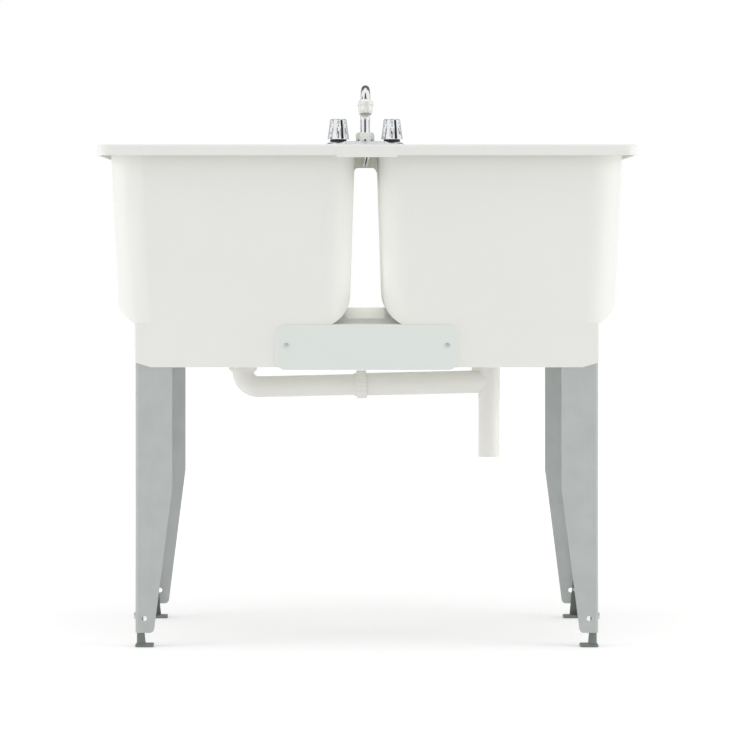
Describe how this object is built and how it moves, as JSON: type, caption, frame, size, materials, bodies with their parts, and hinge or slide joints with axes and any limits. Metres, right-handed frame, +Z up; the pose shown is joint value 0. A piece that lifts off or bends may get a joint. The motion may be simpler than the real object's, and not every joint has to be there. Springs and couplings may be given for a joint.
{
  "type": "utility laundry sink",
  "caption": "Free-standing utility laundry sink: two deep moulded bowls on angle-steel legs with levelling feet, a two-handle swing-spout faucet and joined waste pipes.",
  "frame": {"origin": "on the floor under the middle of the rim", "axes": "+Z up; -Y towards the user, so the faucet ledge is at +Y; +X to the user's right, where the waste outlet is"},
  "size_m": [0.935, 0.61, 0.999],
  "materials": {
    "moulded_white": "moulded, slightly glossy",
    "plate_white": "smooth",
    "zinc": "zinc plated",
    "galvanised_steel": "galvanised sheet",
    "grey_plastic": "moulded",
    "black_rubber": "matte",
    "black_plastic": "moulded",
    "chrome": "polished",
    "brass": "cast and turned",
    "white_pipe": "moulded",
    "index_red": "smooth",
    "index_blue": "smooth"
  },
  "bodies": {
    "sink": {"tub": "moulded_white", "name_plate": "plate_white", "plate_screws": "zinc", "leg_front_left": "galvanised_steel", "leg_front_right": "galvanised_steel", "leg_rear_left": "galvanised_steel", "leg_rear_right": "galvanised_steel", "leveler_bolts": "zinc", "leveler_nuts": "zinc", "faucet_gasket": "black_rubber", "faucet_cover": "chrome", "faucet_waterway": "brass", "mounting_washers": "zinc", "mounting_nuts": "black_plastic", "valve_bonnets": "black_plastic", "spout_nut": "chrome", "spout_ring": "black_plastic", "strainer_left": "white_pipe", "strainer_right": "white_pipe", "drain_gaskets": "black_rubber", "drain_locknuts": "white_pipe", "tailpiece_nuts": "white_pipe", "tailpiece_left": "white_pipe", "tailpiece_right": "white_pipe", "waste_elbow": "white_pipe", "waste_tee": "white_pipe", "slip_nut_left": "white_pipe", "slip_nut_right": "white_pipe", "slip_nut_middle": "white_pipe", "slip_washers": "black_rubber"},
    "hot_valve": {"handle_hot": "chrome", "stem_hot": "brass", "handle_screw_hot": "zinc", "index_button_hot": "index_red"},
    "cold_valve": {"handle_cold": "chrome", "stem_cold": "brass", "handle_screw_cold": "zinc", "index_button_cold": "index_blue"},
    "swing_spout": {"spout": "chrome", "spout_o_rings": "black_rubber", "hose_end": "chrome", "hose_washer": "black_rubber"},
    "foot_front_left": {"leveler_front_left": "grey_plastic"},
    "foot_front_right": {"leveler_front_right": "grey_plastic"},
    "foot_rear_left": {"leveler_rear_left": "grey_plastic"},
    "foot_rear_right": {"leveler_rear_right": "grey_plastic"},
    "plug_left": {"stopper_left": "black_rubber"},
    "plug_right": {"stopper_right": "black_rubber"}
  },
  "joints": [
    {"name": "hot_handle_turn", "type": "hinge", "parent": "sink", "child": "hot_valve", "pos_m": [-0.0508, 0.265, 0.92], "axis": [0, 0, 1], "range_deg": [0, 90]},
    {"name": "cold_handle_turn", "type": "hinge", "parent": "sink", "child": "cold_valve", "pos_m": [0.0508, 0.265, 0.92], "axis": [0, 0, 1], "range_deg": [0, 90]},
    {"name": "spout_swing", "type": "hinge", "parent": "sink", "child": "swing_spout", "pos_m": [0, 0.265, 0.9], "axis": [0, 0, 1], "continuous": true},
    {"name": "foot_front_left_slide", "type": "slide", "parent": "sink", "child": "foot_front_left", "axis": [0, 0, 1], "range_m": [-0.018, 0.01]},
    {"name": "foot_front_right_slide", "type": "slide", "parent": "sink", "child": "foot_front_right", "axis": [0, 0, 1], "range_m": [-0.018, 0.01]},
    {"name": "foot_rear_left_slide", "type": "slide", "parent": "sink", "child": "foot_rear_left", "axis": [0, 0, 1], "range_m": [-0.018, 0.01]},
    {"name": "foot_rear_right_slide", "type": "slide", "parent": "sink", "child": "foot_rear_right", "axis": [0, 0, 1], "range_m": [-0.018, 0.01]},
    {"name": "plug_left_lift", "type": "slide", "parent": "sink", "child": "plug_left", "axis": [0, 0, 1], "range_m": [0, 0.06]},
    {"name": "plug_right_lift", "type": "slide", "parent": "sink", "child": "plug_right", "axis": [0, 0, 1], "range_m": [0, 0.06]}
  ]
}
